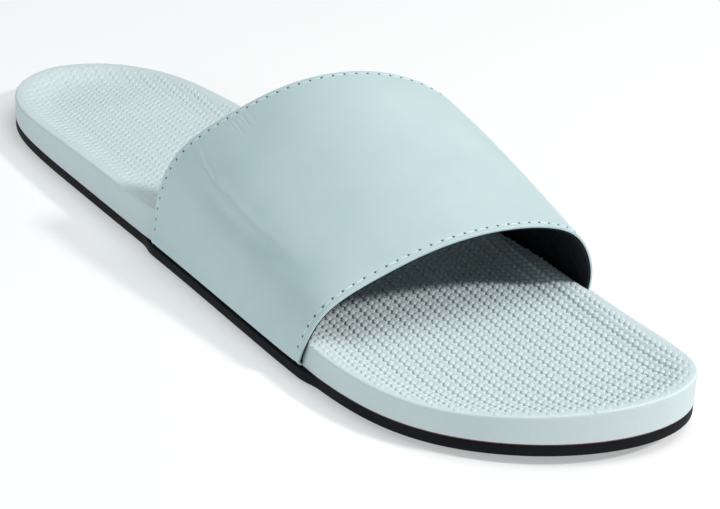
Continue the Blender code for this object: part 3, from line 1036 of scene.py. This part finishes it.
class SANDAL_OT_stitches(bpy.types.Operator):
    """Make the two rows of stitches and their needle holes."""

    bl_idname = "sandal.make_stitches"
    bl_label = "Make stitches"

    def execute(self, context):
        sizes, strap, texture, colours = settings_of(context)
        sole = Sole(sizes, strap, 200)
        length = (EDGES[2][2] - EDGES[2][1]) * sizes.length
        fine = np.linspace(0.004, 0.996, 900)
        points, facing, aim = [], [], []
        for row, along in ((strap.rear_row, 0.0), (strap.front_row, 1.0)):
            forward = along + (row if along == 0 else -row) / length
            near = np.array([forward - 0.01, forward, forward + 0.01])[:, None]
            grid = strap_points(sole, strap, fine[None], near)
            out = outward(grid)[1]
            line = grid[1]
            knots = chord_knots(line)
            count = int(knots[-1] / strap.stitch_pitch)
            where = (np.arange(count) + 0.5) * knots[-1] / count
            spot, up, on = (
                np.stack([np.interp(where, knots, part[:, k]) for k in range(3)], axis=-1)
                for part in (line, out, np.gradient(line, axis=0))
            )
            points.append(spot)
            facing.append(unit(up))
            aim.append(unit(on))
        points, facing, aim = (np.concatenate(part) for part in (points, facing, aim))
        thread = bar_mesh("stitch_one", STITCH)
        scale = {
            "Length": strap.stitch_pitch - strap.hole * 0.9,
            "Width": strap.stitch_width,
            "Height": 0.00036,
        }
        finish = plain_finish("thread", colours.thread, 0.6, 2600.0, 0.00006)
        sunk = points - facing * 0.00012
        stitches = repeated_piece("strap_stitches", thread, sunk, facing, aim, 1.0, scale, finish)
        finish_piece(stitches, "strap")
        # Needle holes: small pieces sunk under the stitch groove, coloured grey as painted shade
        # inside each hole.
        hole = bar_mesh("hole_one", NEEDLE_HOLE)
        scale = {"Length": strap.hole, "Width": strap.hole, "Height": 0.0004}
        finish = plain_finish("needle_hole_painted_shade", colours.hole, 0.9, 2600.0, 0.00005)
        between = points + aim * strap.stitch_pitch / 2 - facing * 0.00013
        holes = repeated_piece("strap_needle_holes", hole, between, facing, aim, 1.0, scale, finish)
        finish_piece(holes, "strap")
        return {"FINISHED"}


class SANDAL_OT_cement(bpy.types.Operator):
    """Make the thin cement line between the outsole and the footbed."""

    bl_idname = "sandal.make_cement"
    bl_label = "Make cement line"

    def execute(self, context):
        sizes, strap, texture, colours = settings_of(context)
        sole = Sole(sizes, strap, 200)
        grip = sole.grip()
        out = (sizes.gap + strap.wall - strap.overhang) * grip
        rings = sole.rings(out, [(inset, sizes.rubber + level) for inset, level in CEMENT])
        section = [sole.place(flat[:, 0], flat[:, 1], height) for flat, height in rings]
        faces = ring_faces(len(CEMENT), len(sole.points), closed=True)
        finish = plain_finish("cement", colours.cement, 0.6, 900.0, 0.00005)
        piece = new_piece("cement_line", np.vstack(section), faces, finish, 60)
        finish_piece(piece, "footbed")
        return {"FINISHED"}


class SANDAL_OT_stage(bpy.types.Operator):
    """Make the pale floor, the soft studio light and the camera."""

    bl_idname = "sandal.make_stage"
    bl_label = "Make stage"

    def execute(self, context):
        scene = context.scene
        finish = Finish("pale_floor", Roughness=0.9, Specular_IOR_Level=0.1, Emission_Strength=0.38)
        finish.shader.inputs["Emission Color"].default_value = (1.0, 1.0, 1.0, 1.0)
        tint = finish.ramp(finish.noise(1.2, 1.0), 0.2, 0.8)
        finish.feed("Base Color", finish.blend(tint, (0.62, 0.62, 0.62), (0.615, 0.616, 0.618)))
        mesh = bpy.data.meshes.new("studio_floor")
        half = 4.0
        corners = [(-half, -half, 0), (half, -half, 0), (half, half, 0), (-half, half, 0)]
        mesh.from_pydata(corners, [], [(0, 1, 2, 3)])
        mesh.materials.append(finish.material)
        floor = add_object("studio_floor", mesh)
        world = bpy.data.worlds.new("studio_world")
        world.use_nodes = True
        sky = world.node_tree.nodes["Background"].inputs
        sky["Color"].default_value = (0.80, 0.96, 1.0, 1.0)
        sky["Strength"].default_value = 0.22
        scene.world = world
        for lamp in LAMPS:
            self.lamp(*lamp)
        scene.view_settings.view_transform = "Standard"
        scene.view_settings.look = "None"
        self.camera(scene)
        return {"FINISHED"}

    def lamp(self, name, place, target, size, power, colour):
        """Hang a square soft light that points at a spot."""
        light = bpy.data.lights.new(name, "AREA")
        light.size = size
        light.energy = power
        light.color = colour
        lamp = add_object(name, light)
        lamp.location = place
        lamp.rotation_euler = (Vector(target) - Vector(place)).to_track_quat("-Z", "Y").to_euler()

    def camera(self, scene):
        """Stand the camera at the photograph's angle, rolled as it was."""
        azimuth, elevation, roll = (math.radians(turn) for turn in CAMERA_TURN)
        sole = Sole(scene.sandal_sole, scene.sandal_strap, 100)
        target = Vector((CAMERA_TARGET[0] - sole.middle, CAMERA_TARGET[1], 0.0))
        back = Vector((
            math.sin(azimuth) * math.cos(elevation),
            -math.cos(azimuth) * math.cos(elevation),
            math.sin(elevation),
        ))
        right = (-back).cross(Vector((0, 0, 1))).normalized()
        up = right.cross(-back)
        turned = right * math.cos(roll) + up * math.sin(roll)
        upright = up * math.cos(roll) - right * math.sin(roll)
        view = bpy.data.cameras.new("camera")
        view.sensor_width = 36.0
        view.lens = CAMERA_LENS
        view.clip_start = 0.01
        camera = add_object("camera", view)
        pose = Matrix((turned, upright, back)).transposed().to_4x4()
        pose.translation = target + back * CAMERA_DISTANCE
        camera.matrix_world = pose
        scene.camera = camera


class SANDAL_PT_panel(bpy.types.Panel):
    """List the sandal's sizes, colours and pieces in the sidebar."""

    bl_label = "Slide sandal"
    bl_idname = "SANDAL_PT_panel"
    bl_space_type = "VIEW_3D"
    bl_region_type = "UI"
    bl_category = "Sandal"

    def draw(self, context):
        for group in settings_of(context):
            box = self.layout.box()
            for name in group.bl_rna.properties.keys():
                if name not in ("rna_type", "name"):
                    box.prop(group, name)
        for operator in OPERATORS:
            self.layout.operator(operator.bl_idname)


GROUPS = {
    "sandal_sole": SoleSizes,
    "sandal_strap": StrapSizes,
    "sandal_texture": TextureSizes,
    "sandal_colours": SandalColours,
}
OPERATORS = [
    SANDAL_OT_outsole,
    SANDAL_OT_tread,
    SANDAL_OT_footbed,
    SANDAL_OT_herringbone,
    SANDAL_OT_strap,
    SANDAL_OT_stitches,
    SANDAL_OT_cement,
    SANDAL_OT_stage,
]


def register():
    for group in GROUPS.values():
        bpy.utils.register_class(group)
    for name, group in GROUPS.items():
        setattr(bpy.types.Scene, name, bpy.props.PointerProperty(type=group))
    for operator in OPERATORS:
        bpy.utils.register_class(operator)
    bpy.utils.register_class(SANDAL_PT_panel)


def unregister():
    bpy.utils.unregister_class(SANDAL_PT_panel)
    for operator in reversed(OPERATORS):
        bpy.utils.unregister_class(operator)
    for name, group in GROUPS.items():
        delattr(bpy.types.Scene, name)
        bpy.utils.unregister_class(group)


def main():
    """Make every piece."""
    register()
    bpy.ops.sandal.make_outsole()
    bpy.ops.sandal.make_tread()
    bpy.ops.sandal.make_footbed()
    bpy.ops.sandal.make_herringbone()
    bpy.ops.sandal.make_strap()
    bpy.ops.sandal.make_stitches()
    bpy.ops.sandal.make_cement()
    bpy.ops.sandal.make_stage()


if __name__ == "__main__":
    main()
